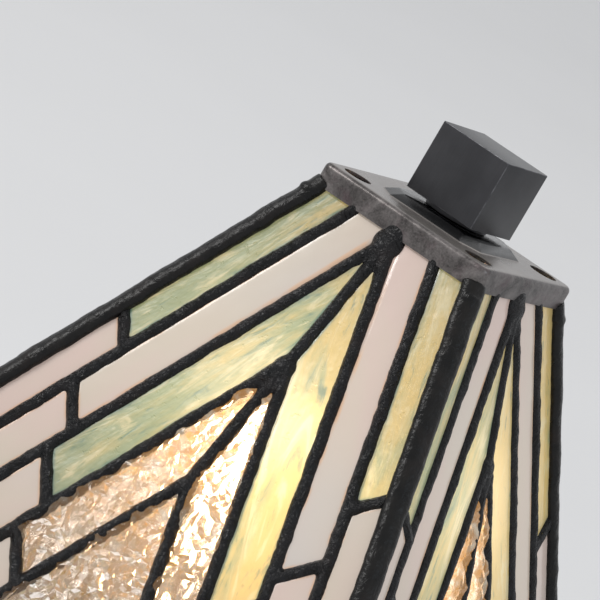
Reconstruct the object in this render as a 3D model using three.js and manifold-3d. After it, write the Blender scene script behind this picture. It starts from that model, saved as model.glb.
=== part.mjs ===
// A stained glass table lamp: a square pyramid shade of leaded glass on a harp, a pressed cap with a cube
// finial, one upright bulb in a turn-knob socket, and a square stepped base with a tapered column.
// Millimetres, +Z up. The origin is the middle of the felt pad's underside. The front is -Y.
import * as THREE from "three";
import { mergeVertices } from "three/addons/utils/BufferGeometryUtils.js";
import Module from "manifold-3d";

const wasm = await Module();
wasm.setup();

// ---------------------------------------------------------------- driving dimensions
const GAP = 0.3; // clearance between pieces that touch

// Shade
const LEAN = THREE.MathUtils.degToRad(22.5); // a panel's angle from the vertical
const SLOPE = Math.sin(LEAN); // a panel's half width grows by this for each mm down its slope
const PANEL_LENGTH = 300; // down the slope, from the cap's skirt to the rim
const TOP_HALF = 37.2; // half the pyramid's width at the skirt's lower edge
const GLASS = 3; // glass thickness
const HIP_MARGIN = 3.55; // from the pyramid's edge to the cut edge of the glass
const TUCK = 6; // glass that goes up under the skirt
const SEAM = 4.2; // width of a soldered seam
const SEAM_RISE = 1; // height of a seam above its glass
const RIM_HEIGHT = 6;
const HIP = { radius: 4.6, sink: 1.4, cover: 3 }; // a bead, its middle's depth, and how much seam it hides

// Cap and finial
const RIM_Z = 262; // underside of the shade
const SKIRT_Z = RIM_Z + PANEL_LENGTH * Math.cos(LEAN);
const SKIRT_HEIGHT = 9.1;
const CAP_Z = SKIRT_Z + SKIRT_HEIGHT; // the cap's flat top
const CAP_HALF = 38.5;
const CAP_CORNER = 4;
const SHEET = 1; // thickness of the pressed cap
const BOSS = { foot: 23, top: 19.5, rise: 2.8 };
const VENT = { at: 28.5, radius: 5.5 };
const FINIAL = { size: 31.4, height: 27.4, lift: 5, turn: THREE.MathUtils.degToRad(-3) };
const FINIAL_BUSH = { bore: 3.7, flange: 12.7, neck: 6 };
const STUD_RADIUS = 3.175; // quarter-inch lamp thread
const STUD_RISE = 14.5; // the stud's tip above the cap's flat top
const SEAT_RADIUS = 9.5; // the stud's flange, which carries the shade

// Bulb and socket
const GLOBE_Z = CAP_Z - 110;
const GLOBE_RADIUS = 30;
const BULB_LENGTH = 110;
const BULB_TIP_Z = GLOBE_Z + GLOBE_RADIUS - BULB_LENGTH;
const BULB_CAP_RADIUS = 13.2;
const SWITCH_Z = BULB_TIP_Z - 9;
const SHAFT = { radius: 1.8, start: 9.6, end: 31 }; // distances out from the lamp's axis
const KNOB = { radius: 6.5, start: 23, end: 37 };

// Base
const PAD = { half: 82, height: 2 };
const FOOT = { half: 85, height: 18, wall: 3, bevel: 4 };
const STEP = { half: 64, height: 14, bevel: 4 };
const PLINTH = { half: 42, height: 14, bevel: 6 };
const COLUMN = { foot: 28, top: 20, height: 178, wall: 3.4 };
const COLLAR = { half: 27, height: 8, bevel: 3 };
const BLOCK = { half: 17, height: 32 };
const PIPE_RADIUS = 4.8;
const PIPE_BORE = 3.4;
const PIPE_HOLE = 5.3;
const BALLAST = { half: 75, height: 12, recess: 6, recessRadius: 15 };
const WASHER = { radius: 12, thick: 1.5 };
const NUT = { radius: 8.6, height: 5.4 };
const CORD = { rise: 7, bore: 3.4, bush: 5.2, flange: 6.6, slot: 14 };

// Levels, from the pad upwards
const FOOT_Z = PAD.height + GAP;
const STEP_Z = FOOT_Z + FOOT.height + GAP;
const PLINTH_Z = STEP_Z + STEP.height + GAP;
const COLUMN_Z = PLINTH_Z + PLINTH.height + GAP;
const COLLAR_Z = COLUMN_Z + COLUMN.height + GAP;
const BLOCK_Z = COLLAR_Z + COLLAR.height + GAP;
const PLATE_Z = BLOCK_Z + BLOCK.height + GAP;
const PLATE = { half: 21, height: 5 };
const NECK_Z = PLATE_Z + PLATE.height + GAP;
const SOCKET_DROP = 42.6; // from the bulb's tip down to the saddle that the socket stands on
const SADDLE_Z = BULB_TIP_Z - SOCKET_DROP;
const SADDLE_THICK = 1.5;
const SOCKET_Z = SADDLE_Z + SADDLE_THICK + GAP;

// ---------------------------------------------------------------- materials
const finish = (color, roughness, metalness) =>
  new THREE.MeshStandardMaterial({ color, roughness, metalness });
const bronze = finish(0x2a2522, 0.45, 0.8);
const blackSatin = finish(0x303136, 0.5, 0.3);
const patina = finish(0x29282b, 0.42, 0.85);
const opalGlass = finish(0xd9d3a6, 0.2, 0);
const hammeredGlass = finish(0xe8e2d2, 0.1, 0);
const brass = finish(0xb08a45, 0.3, 1);
const steel = finish(0x8f9194, 0.35, 1);
const castIron = finish(0x3a3a3c, 0.8, 0.6);
const felt = finish(0x1d2a22, 1, 0);
const phenolic = finish(0x201a16, 0.5, 0);
const paperBoard = finish(0x4b3a2a, 0.9, 0);
const bulbGlass = finish(0xf5efe2, 0.1, 0);
const filamentMetal = finish(0xffc070, 0.4, 0.5);

// ---------------------------------------------------------------- helpers
const lamp = new THREE.Group();

function add(name, geometry, material, parent = lamp) {
  const mesh = new THREE.Mesh(geometry, material);
  mesh.name = name;
  parent.add(mesh);
  return mesh;
}

function toSolid(geometry) {
  const bare = (geometry.index ? geometry.toNonIndexed() : geometry.clone()).deleteAttribute("normal");
  bare.deleteAttribute("uv");
  const merged = mergeVertices(bare, 1e-4);
  return new wasm.Manifold(
    new wasm.Mesh({
      numProp: 3,
      vertProperties: new Float32Array(merged.attributes.position.array),
      triVerts: new Uint32Array(merged.index.array),
    }),
  );
}

function toGeometry(solid) {
  const { vertProperties, triVerts } = solid.getMesh();
  const geometry = new THREE.BufferGeometry();
  geometry.setAttribute("position", new THREE.BufferAttribute(new Float32Array(vertProperties), 3));
  geometry.setIndex(new THREE.BufferAttribute(new Uint32Array(triVerts), 1));
  return geometry;
}

const cut = (body, ...tools) =>
  toGeometry(tools.reduce((rest, tool) => rest.subtract(toSolid(tool)), toSolid(body)));

// A solid of revolution about Z, from [radius, height] points listed anticlockwise.
function turned(profile, sides = 24) {
  const points = profile.map(([r, z]) => new THREE.Vector2(r, z));
  return new THREE.LatheGeometry(points, sides).rotateX(Math.PI / 2);
}

// The same with four sides: a square piece, from [half width, height] points.
function squared(profile) {
  const points = profile.map(([half, z]) => new THREE.Vector2(half * Math.SQRT2, z));
  return new THREE.LatheGeometry(points, 4, Math.PI / 4).rotateX(Math.PI / 2);
}

// A ring profile, closed on itself.
const ring = (inner, outer, low, high) => [
  [inner, low],
  [outer, low],
  [outer, high],
  [inner, high],
  [inner, low],
];

// A round rod along Z.
const rod = (radius, low, high, sides = 24) =>
  new THREE.CylinderGeometry(radius, radius, high - low, sides)
    .rotateX(Math.PI / 2)
    .translate(0, 0, (low + high) / 2);

// The same rod, pointing out to the front at the switch's height.
const frontRod = (radius, start, end, sides) =>
  rod(radius, start, end, sides).rotateX(Math.PI / 2).translate(0, 0, SWITCH_Z);

// A square slab with a bevelled top edge.
const bevelled = (half, low, height, bevel) =>
  squared([
    [0, low],
    [half, low],
    [half, low + height - bevel],
    [half - bevel, low + height],
    [0, low + height],
  ]);

function outline(points) {
  return new THREE.Shape(points.map(([x, y]) => new THREE.Vector2(x, y)));
}

const plate = (shape, low, high) =>
  new THREE.ExtrudeGeometry(shape, { depth: high - low, bevelEnabled: false }).translate(0, 0, low);

// A round wire bent along a curve.
function wireAlong(path, radius, sides, steps) {
  const section = [];
  for (let i = 0; i < sides; i++) {
    const angle = (i * 2 * Math.PI) / sides;
    section.push([radius * Math.cos(angle), radius * Math.sin(angle)]);
  }
  return new THREE.ExtrudeGeometry(outline(section), { steps, extrudePath: path, bevelEnabled: false });
}

function roundedSquare(half, radius, cornerSteps = 4) {
  const points = [];
  for (let corner = 0; corner < 4; corner++) {
    for (let i = 0; i <= cornerSteps; i++) {
      const angle = (corner + i / cornerSteps) * (Math.PI / 2);
      const cx = (corner === 0 || corner === 3 ? 1 : -1) * (half - radius);
      const cy = (corner < 2 ? 1 : -1) * (half - radius);
      points.push([cx + radius * Math.cos(angle), cy + radius * Math.sin(angle)]);
    }
  }
  return outline(points);
}

// ---------------------------------------------------------------- base
function buildBase() {
  const pipeHole = rod(PIPE_HOLE, -10, 400);
  const pad = squared([
    [0, 0],
    [PAD.half, 0],
    [PAD.half, PAD.height],
    [0, PAD.height],
  ]);
  add("felt_pad", pad, felt);

  const footTop = FOOT_Z + FOOT.height;
  const hollow = FOOT.half - FOOT.wall;
  const cordZ = FOOT_Z + CORD.rise;
  const foot = squared([
    [hollow, FOOT_Z],
    [FOOT.half, FOOT_Z],
    [FOOT.half, footTop - FOOT.bevel],
    [FOOT.half - FOOT.bevel, footTop],
    [0, footTop],
    [0, footTop - FOOT.wall],
    [hollow - FOOT.bevel, footTop - FOOT.wall],
    [hollow, footTop - FOOT.wall - FOOT.bevel],
    [hollow, FOOT_Z],
  ]);
  const cordHole = rod(CORD.bush + GAP, 0, 20).rotateX(-Math.PI / 2).translate(0, hollow - 8, cordZ);
  add("base_foot", cut(foot, pipeHole, cordHole), bronze);

  const bush = turned([
    [CORD.bore, -6],
    [CORD.bush, -6],
    [CORD.bush, GAP],
    [CORD.flange, GAP],
    [CORD.flange, 2.2],
    [CORD.flange - 1, 3],
    [CORD.bore, 3],
    [CORD.bore, -6],
  ]).rotateX(-Math.PI / 2);
  add("cord_bushing", bush.translate(0, FOOT.half, cordZ), phenolic);

  const ballastTop = footTop - FOOT.wall - GAP;
  const ballastLow = ballastTop - BALLAST.height;
  const nutRecess = rod(BALLAST.recessRadius, 0, ballastLow + BALLAST.recess + GAP);
  const slotLength = BALLAST.half + 5;
  const cordSlot = new THREE.BoxGeometry(CORD.slot, slotLength, 40).translate(
    0,
    slotLength / 2,
    ballastTop - 15,
  );
  const ballast = squared([
    [0, ballastLow],
    [BALLAST.half, ballastLow],
    [BALLAST.half, ballastTop],
    [0, ballastTop],
  ]);
  add("ballast_plate", cut(ballast, pipeHole, nutRecess, cordSlot), castIron);
  const washerTop = ballastLow + BALLAST.recess;
  const washerLow = washerTop - WASHER.thick;
  add("pipe_washer", turned(ring(PIPE_HOLE, WASHER.radius, washerLow, washerTop)), steel);
  const nutTop = washerLow - GAP;
  const nut = rod(NUT.radius, nutTop - NUT.height, nutTop, 6);
  add("pipe_nut", cut(nut, rod(PIPE_RADIUS + 0.4, 0, 30)), steel);
  add("lamp_pipe", turned(ring(PIPE_BORE, PIPE_RADIUS, nutTop - 6, SOCKET_Z + 7.5), 20), steel);

  const wall = 3;
  const stepTop = STEP_Z + STEP.height;
  const step = squared([
    [STEP.half - wall, STEP_Z],
    [STEP.half, STEP_Z],
    [STEP.half, stepTop - STEP.bevel],
    [STEP.half - STEP.bevel, stepTop],
    [0, stepTop],
    [0, stepTop - wall],
    [STEP.half - STEP.bevel - wall, stepTop - wall],
    [STEP.half - wall, stepTop - wall - STEP.bevel],
    [STEP.half - wall, STEP_Z],
  ]);
  add("base_step", cut(step, pipeHole), bronze);
  const plinth = bevelled(PLINTH.half, PLINTH_Z, PLINTH.height, PLINTH.bevel);
  add("column_plinth", cut(plinth, pipeHole), bronze);
  add("column", buildColumn(), bronze);
  const collar = bevelled(COLLAR.half, COLLAR_Z, COLLAR.height, COLLAR.bevel);
  add("column_collar", cut(collar, pipeHole), bronze);
  add("neck_block", cut(bevelled(BLOCK.half, BLOCK_Z, BLOCK.height, 1), pipeHole), blackSatin);
  add("neck_plate", cut(bevelled(PLATE.half, PLATE_Z, PLATE.height, 2), pipeHole), bronze);

  const neckTop = SADDLE_Z - GAP;
  const neck = [
    [PIPE_HOLE, NECK_Z],
    [13, NECK_Z],
    [13, NECK_Z + 3],
    [8.5, NECK_Z + 7],
    [8.5, neckTop - 5],
    [11, neckTop - 3],
    [11, neckTop],
    [PIPE_HOLE, neckTop],
    [PIPE_HOLE, NECK_Z],
  ];
  add("neck_spacer", turned(neck), bronze);
}

// A tapered square tube. Two long flutes in each face leave a rib between them.
function buildColumn() {
  const { foot, top, height, wall } = COLUMN;
  const shell = squared([
    [foot - wall, COLUMN_Z],
    [foot, COLUMN_Z],
    [top, COLUMN_Z + height],
    [top - wall, COLUMN_Z + height],
    [foot - wall, COLUMN_Z],
  ]);
  const taper = Math.atan((foot - top) / height);
  const middle = (foot + top) / 2;
  const flute = { width: 9, depth: 1.4, length: 140, offset: 7.5 };
  const tools = [];
  for (let side = 0; side < 4; side++) {
    for (const hand of [-1, 1]) {
      const box = new THREE.BoxGeometry(flute.width, 2 * flute.depth, flute.length)
        .translate(hand * flute.offset, 0, 0)
        .rotateX(-taper)
        .translate(0, -middle, COLUMN_Z + height / 2)
        .rotateZ((side * Math.PI) / 2);
      tools.push(box);
    }
  }
  return cut(shell, ...tools);
}

// ---------------------------------------------------------------- harp
const HARP = { foot: 30, belly: 57, wire: 2.2 };
const SLEEVE = { inner: 2.9, outer: 4, length: 16, peg: 8 };

function buildHarp() {
  const halfWidth = 7;
  const strip = new THREE.BoxGeometry(2 * HARP.foot + 10, 2 * halfWidth, SADDLE_THICK).translate(
    0,
    0,
    SADDLE_Z + SADDLE_THICK / 2,
  );
  const top = SADDLE_Z + SADDLE_THICK;
  let saddle = toSolid(strip).subtract(toSolid(rod(PIPE_HOLE, 0, 600)));
  for (const hand of [-1, 1]) {
    const peg = rod(HARP.wire, SADDLE_Z + 0.5, top + SLEEVE.peg, 12).translate(hand * HARP.foot, 0, 0);
    saddle = saddle.add(toSolid(peg));
  }
  add("harp_saddle", toGeometry(saddle), brass);

  const low = top + GAP;
  for (const [name, hand] of [["harp_sleeve_left", -1], ["harp_sleeve_right", 1]]) {
    const sleeve = turned(ring(SLEEVE.inner, SLEEVE.outer, low, low + SLEEVE.length), 16);
    add(name, sleeve.translate(hand * HARP.foot, 0, 0), brass);
  }

  const wireEnd = top + SLEEVE.peg + GAP;
  const crown = CAP_Z - 1 - HARP.wire - GAP;
  // Half of the bow: [distance from the axis, height], from its foot up to the crown.
  const side = [
    [HARP.foot, wireEnd],
    [HARP.foot, wireEnd + 24],
    [HARP.foot + 4, wireEnd + 34],
    [HARP.belly - 10, GLOBE_Z - 70],
    [HARP.belly, GLOBE_Z - 25],
    [HARP.belly - 3, GLOBE_Z + 25],
    [HARP.belly - 12, crown - 44],
    [31, crown - 18],
    [18, crown - 6],
    [8, crown - 0.6],
  ];
  const points = [
    ...side.map(([x, z]) => new THREE.Vector3(-x, 0, z)),
    new THREE.Vector3(0, 0, crown),
    ...side.reverse().map(([x, z]) => new THREE.Vector3(x, 0, z)),
  ];
  const path = new THREE.CatmullRomCurve3(points, false, "centripetal");
  add("harp_bow", wireAlong(path, HARP.wire, 8, 56), brass);

  const seatTop = CAP_Z + BOSS.rise - SHEET - GAP;
  const seatLow = crown + HARP.wire + GAP;
  const studTop = CAP_Z + STUD_RISE;
  const stud = turned([
    [0, seatLow],
    [SEAT_RADIUS, seatLow],
    [SEAT_RADIUS, seatTop],
    [STUD_RADIUS, seatTop],
    [STUD_RADIUS, studTop - 0.6],
    [STUD_RADIUS - 0.6, studTop],
    [0, studTop],
  ]);
  add("harp_stud", stud, brass);
}

// ---------------------------------------------------------------- socket, switch and bulb
function buildSocket() {
  const z = SOCKET_Z;
  const cupTop = z + 24.5;
  const cup = turned([
    [PIPE_HOLE, z],
    [7.8, z],
    [7.8, z + 5],
    [16, z + 12],
    [18.6, z + 16],
    [18.6, cupTop],
    [17.6, cupTop],
    [17.6, z + 16.6],
    [15.4, z + 13.2],
    [6.6, z + 6.2],
    [PIPE_HOLE, z + 6.2],
    [PIPE_HOLE, z],
  ]);
  add("socket_cap", cup, brass);

  const shellLow = z + 18;
  const shellTop = BULB_TIP_Z + 20;
  const shaftHole = frontRod(SHAFT.radius + 1, 0, 30, 16);
  const shell = turned([
    [16.2, shellLow],
    [17.2, shellLow],
    [17.2, shellTop - 2],
    [18, shellTop],
    [17, shellTop],
    [16.2, shellTop - 2],
    [16.2, shellLow],
  ]);
  add("socket_shell", cut(shell, shaftHole), brass);
  const sleeve = turned(ring(15, 15.8, shellLow + 1, shellTop - 1));
  add("socket_insulator", cut(sleeve, shaftHole), paperBoard);

  const coreTop = BULB_TIP_Z - 1.1;
  const coreBore = frontRod(SHAFT.radius + 0.6, SHAFT.start - 0.4, 30, 16);
  add("socket_core", cut(rod(14.2, shellLow + 2, coreTop), coreBore), phenolic);
  add("contact_tongue", new THREE.BoxGeometry(14, 5, 0.5).translate(0, 0, coreTop + GAP + 0.25), brass);
  add("screw_shell", turned(ring(13.6, 14.4, coreTop + 4, shellTop - 1.5)), steel);

  add("switch_shaft", frontRod(SHAFT.radius, SHAFT.start, SHAFT.end, 12), brass);
  const knobBore = frontRod(SHAFT.radius + GAP, 20, SHAFT.end + 0.4, 12);
  const knob = frontRod(KNOB.radius, KNOB.start, KNOB.end, 16);
  add("switch_knob", cut(knob, knobBore), phenolic);
}

function buildBulb() {
  const tip = BULB_TIP_Z;
  add("bulb_contact", rod(4.5, tip, tip + 2, 16), brass);
  const capLow = tip + 2 + GAP;
  const capTop = tip + 25.7;
  const screwCap = turned([
    [0, capLow],
    [7, capLow],
    [BULB_CAP_RADIUS, capLow + 5],
    [BULB_CAP_RADIUS, capTop],
    [9, capTop],
    [9, capLow + 7],
    [0, capLow + 7],
  ]);
  add("bulb_screw_cap", screwCap, steel);

  // The envelope's outer line: a neck that flares into the globe. The inner line is 1 mm inside it.
  const neckZ = capTop + GAP;
  const wall = 1;
  const shoulder = -Math.PI / 4;
  const line = (radius, neck) => {
    const points = [
      [neck, neckZ],
      [neck + 0.8, neckZ + 8],
      [neck + 3.6, neckZ + 19],
    ];
    const steps = 8;
    for (let i = 0; i <= steps; i++) {
      const angle = shoulder + ((Math.PI / 2 - shoulder) * i) / steps;
      points.push([Math.max(0, radius * Math.cos(angle)), GLOBE_Z + radius * Math.sin(angle)]);
    }
    return points;
  };
  const neck = 12.4;
  const outer = line(GLOBE_RADIUS, neck);
  const inner = line(GLOBE_RADIUS - wall, neck - wall).reverse();
  const profile = [...outer, ...inner, [neck, neckZ]];
  add("bulb_envelope", turned(profile, 20), bulbGlass);

  const stemTop = GLOBE_Z - 12;
  const stem = turned(
    [
      [0, capLow + 8],
      [6, capLow + 8],
      [6, capLow + 20],
      [2.5, capLow + 32],
      [2.5, stemTop],
      [0, stemTop],
    ],
    10,
  );
  add("bulb_stem", stem, bulbGlass);
  const loop = { half: 14, rise: 9, above: 4 };
  const points = [-1, -0.55, 0, 0.55, 1].map((u) => {
    const height = loop.above + loop.rise * Math.sqrt(1 - u * u * 0.9);
    return new THREE.Vector3(loop.half * u, 0, stemTop + height);
  });
  add("bulb_filament", wireAlong(new THREE.CatmullRomCurve3(points), 0.7, 6, 12), filamentMetal);
}

// ---------------------------------------------------------------- shade
// A panel is drawn in [across, down] mm: across from its centre line, down the slope from the skirt. Its
// seams run parallel to the hips. A strip lies between two such lines, and a line is given by where it
// crosses down = 0.
const LINES = { outer: 19, middle: 0, inner: -22, core: -43.3 };
const TIE_SLOPE = 1.2; // a cross seam drops by this for each mm towards the centre line
const BORDER = 24; // height of the row of short pieces along the rim
const KITE_SIDE = 195; // depth of the kite's outer corners
const CROSS_SEAMS = { outer: [83, 195], middle: [117, 218], inner: [143, 240], core: [171.5] };

const across = (line, down) => line + SLOPE * down;
const glassEdge = (down) => across(TOP_HALF - HIP_MARGIN, down);
const apex = (line) => -line / SLOPE; // where a line meets the centre line

// Where a cross seam, which meets the strip's middle at this depth, crosses one of its lines.
function tie(lineIn, lineOut, down, line) {
  const middle = across((lineIn + lineOut) / 2, down);
  const at = (middle + down / TIE_SLOPE - line) / (SLOPE + 1 / TIE_SLOPE);
  return [across(line, at), at];
}

// The pieces of glass in the right half of a panel. Each is a list of [across, down] corners.
function halfPieces() {
  const edge = TOP_HALF - HIP_MARGIN;
  const { outer, middle, inner, core } = LINES;
  const borderTop = PANEL_LENGTH - BORDER;
  const bottom = PANEL_LENGTH - RIM_HEIGHT;
  const onLine = (line, down) => [across(line, down), down];
  const pieces = [];
  // One strip, cut by cross seams at these depths and by the border's level seam.
  function strip(lineIn, lineOut, start, depths) {
    let top = start;
    for (const depth of depths) {
      const [a, b] = [tie(lineIn, lineOut, depth, lineIn), tie(lineIn, lineOut, depth, lineOut)];
      pieces.push([...top, b, a]);
      top = [a, b];
    }
    pieces.push([...top, onLine(lineOut, borderTop), onLine(lineIn, borderTop)]);
    pieces.push([
      onLine(lineIn, borderTop),
      onLine(lineOut, borderTop),
      onLine(lineOut, bottom),
      onLine(lineIn, bottom),
    ]);
  }
  strip(outer, edge, [onLine(outer, 0), onLine(edge, 0)], CROSS_SEAMS.outer);
  strip(middle, outer, [onLine(middle, 0), onLine(outer, 0)], CROSS_SEAMS.middle);
  strip(inner, middle, [[0, apex(inner)], [0, 0]], CROSS_SEAMS.inner);
  strip(core, inner, [[0, apex(core)], [0, apex(inner)]], CROSS_SEAMS.core);
  // Under the kite, beside the centre line.
  const kiteSide = onLine(core, KITE_SIDE);
  const kiteFoot = [0, KITE_SIDE + kiteSide[0] * TIE_SLOPE];
  pieces.push([kiteFoot, kiteSide, onLine(core, borderTop), [0, borderTop]]);
  pieces.push([[0, borderTop], onLine(core, borderTop), onLine(core, bottom), [0, bottom]]);
  return { pieces, kite: [[0, apex(core)], kiteSide, kiteFoot, [-kiteSide[0], kiteSide[1]]] };
}

// A convex outline with every edge moved inwards.
function inset(points, distance) {
  const n = points.length;
  const area = points.reduce((sum, [x, y], i) => {
    const [u, v] = points[(i + 1) % n];
    return sum + x * v - u * y;
  }, 0);
  const hand = Math.sign(area);
  const moved = points.map(([x, y], i) => {
    const [u, v] = points[(i + 1) % n];
    const length = Math.hypot(u - x, v - y);
    const [dx, dy] = [(u - x) / length, (v - y) / length];
    return { x: x - hand * dy * distance, y: y + hand * dx * distance, dx, dy };
  });
  return moved.map((edge, i) => {
    const before = moved[(i + n - 1) % n];
    const cross = before.dx * edge.dy - before.dy * edge.dx;
    const along = ((edge.x - before.x) * edge.dy - (edge.y - before.y) * edge.dx) / cross;
    return [before.x + before.dx * along, before.y + before.dy * along];
  });
}

const mirrored = (points) => points.map(([x, y]) => [-x, y]).reverse();
const upSlope = (points) => points.map(([x, down]) => [x, -down]);

// The network of seams: a sheet over the whole panel, opened over each piece of glass.
function buildLeading() {
  const top = 1.2;
  const bottom = PANEL_LENGTH - RIM_HEIGHT - GAP;
  const side = (down) => glassEdge(down) - HIP.cover;
  const sheet = outline(
    upSlope([
      [-side(top), top],
      [side(top), top],
      [side(bottom), bottom],
      [-side(bottom), bottom],
    ]),
  );
  const { pieces, kite } = halfPieces();
  const windows = [kite, ...pieces, ...pieces.map(mirrored)].map((piece) => inset(piece, SEAM / 2));
  const tools = windows.map((window) => plate(outline(upSlope(window)), -5, 5));
  return cut(plate(sheet, GAP, GAP + SEAM_RISE), ...tools);
}

// The glass on each side of the inner seams, and the triangle between them.
function glassShapes() {
  const bottom = PANEL_LENGTH - RIM_HEIGHT / 2;
  const fork = apex(LINES.inner);
  const innerAt = (down) => across(LINES.inner, down);
  const wing = [
    [GAP, -TUCK],
    [glassEdge(-TUCK), -TUCK],
    [glassEdge(bottom), bottom],
    [innerAt(bottom) + GAP, bottom],
    [GAP, fork],
  ];
  const centre = [
    [0, fork + 2],
    [innerAt(bottom) - 0.5, bottom],
    [-innerAt(bottom) + 0.5, bottom],
  ];
  return {
    right: outline(upSlope(wing)),
    left: outline(upSlope(mirrored(wing))),
    centre: outline(upSlope(centre)),
  };
}

function buildPanel(name, quarter) {
  const side = new THREE.Group();
  side.rotation.z = (quarter * Math.PI) / 2;
  const face = new THREE.Group(); // x across, y up the slope, z out of the glass
  face.position.set(0, -TOP_HALF, SKIRT_Z);
  face.rotation.x = Math.PI / 2 - LEAN;
  side.add(face);
  lamp.add(side);

  const shapes = glassShapes();
  add("glass_" + name + "_left", plate(shapes.left, -GLASS, 0), opalGlass, face);
  add("glass_" + name + "_right", plate(shapes.right, -GLASS, 0), opalGlass, face);
  add("glass_" + name + "_centre", plate(shapes.centre, -GLASS, 0), hammeredGlass, face);
  add("leading_" + name, buildLeading(), patina, face);

  // The rim is a channel that holds the glass's lower edge.
  const low = -PANEL_LENGTH;
  const floor = low + RIM_HEIGHT / 2 - GAP;
  const lip = low + RIM_HEIGHT;
  const outerLip = GAP + SEAM_RISE;
  const innerLip = -GLASS - GAP - SEAM_RISE;
  const section = [
    [lip, innerLip],
    [lip, -GLASS - GAP],
    [floor, -GLASS - GAP],
    [floor, GAP],
    [lip, GAP],
    [lip, outerLip],
    [low, outerLip],
    [low, innerLip],
  ];
  const half = glassEdge(PANEL_LENGTH - RIM_HEIGHT) - HIP.cover - 0.5;
  const rim = plate(outline(section), -half, half);
  // The channel's section goes from xy to yz, so that its length runs across the panel.
  rim.rotateY(Math.PI / 2).rotateX(Math.PI / 2);
  add("rim_" + name, rim, patina, face);
}

// The bead that fills the angle between two panels.
function buildHip(name, quarter) {
  const normals = [
    new THREE.Vector3(0, -Math.cos(LEAN), Math.sin(LEAN)),
    new THREE.Vector3(Math.cos(LEAN), 0, Math.sin(LEAN)),
  ];
  const out = normals[0].clone().add(normals[1]).normalize();
  const along = new THREE.Vector3(SLOPE, -SLOPE, -Math.cos(LEAN));
  const perDown = along.length();
  along.normalize();
  const sideways = out.clone().cross(along);
  const fall = Math.acos(normals[0].dot(out)); // each face falls away from the bead by this angle
  const at = (w, h) => [w * Math.cos(fall) + h * Math.sin(fall), -w * Math.sin(fall) + h * Math.cos(fall)];
  const stem = HIP_MARGIN * Math.cos(Math.atan(SLOPE)) - GAP;
  const arc = [0, 1, 2, 3, 4].map((i) => {
    const angle = THREE.MathUtils.degToRad(28 * i);
    return [HIP.radius * Math.sin(angle), HIP.radius * Math.cos(angle) - HIP.sink];
  });
  const section = [...arc, at(stem, GAP), at(stem, -GLASS)];
  const bead = [...section, ...mirrored(section).slice(0, -1)].reverse();
  const start = 2.2;
  const geometry = plate(outline(bead), start * perDown, PANEL_LENGTH * perDown);
  geometry.applyMatrix4(new THREE.Matrix4().makeBasis(sideways, out, along));
  geometry.translate(TOP_HALF, -TOP_HALF, SKIRT_Z).rotateZ((quarter * Math.PI) / 2);
  add("hip_" + name, geometry, patina);
}

function buildCap() {
  const inner = CAP_HALF - SHEET;
  const boss = (grow, low) =>
    squared([
      [0, low],
      [BOSS.foot + grow, low],
      [BOSS.foot + grow, CAP_Z + grow],
      [BOSS.top + grow, CAP_Z + BOSS.rise + grow],
      [0, CAP_Z + BOSS.rise + grow],
    ]);
  const tray = plate(roundedSquare(CAP_HALF, CAP_CORNER), SKIRT_Z, CAP_Z);
  const hollow = plate(roundedSquare(inner, CAP_CORNER - SHEET), SKIRT_Z - 5, CAP_Z - SHEET);
  let cap = toSolid(tray).add(toSolid(boss(0, CAP_Z - 3)));
  cap = cap.subtract(toSolid(hollow)).subtract(toSolid(boss(-SHEET, CAP_Z - 4)));
  cap = cap.subtract(toSolid(rod(STUD_RADIUS + 1.025, CAP_Z - 5, CAP_Z + 10)));
  for (const x of [-VENT.at, VENT.at]) {
    for (const y of [-VENT.at, VENT.at]) {
      cap = cap.subtract(toSolid(rod(VENT.radius, CAP_Z - 5, CAP_Z + 5, 20).translate(x, y, 0)));
    }
  }
  add("shade_cap", toGeometry(cap), patina);
}

function buildFinial() {
  const flangeLow = CAP_Z + BOSS.rise + GAP;
  const cubeLow = CAP_Z + FINIAL.lift;
  const flangeTop = cubeLow - GAP;
  const bushTop = cubeLow + 12;
  const { bore, flange, neck } = FINIAL_BUSH;
  const bush = turned([
    [bore, flangeLow],
    [flange, flangeLow],
    [flange, flangeTop],
    [neck, flangeTop],
    [neck, bushTop],
    [bore, bushTop],
    [bore, flangeLow],
  ]);
  add("finial_bush", bush, blackSatin);
  const cube = new THREE.BoxGeometry(FINIAL.size, FINIAL.size, FINIAL.height)
    .translate(0, 0, cubeLow + FINIAL.height / 2)
    .rotateZ(FINIAL.turn);
  add("finial_cube", cut(cube, rod(neck + 0.4, cubeLow - 5, bushTop + GAP)), blackSatin);
}

buildBase();
buildHarp();
buildSocket();
buildBulb();
["front", "right", "back", "left"].forEach((name, quarter) => buildPanel(name, quarter));
["front_right", "back_right", "back_left", "front_left"].forEach((name, quarter) => buildHip(name, quarter));
buildCap();
buildFinial();

export default lamp;
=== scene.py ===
import math

import bmesh
import bpy
from mathutils import Matrix, Vector


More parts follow.
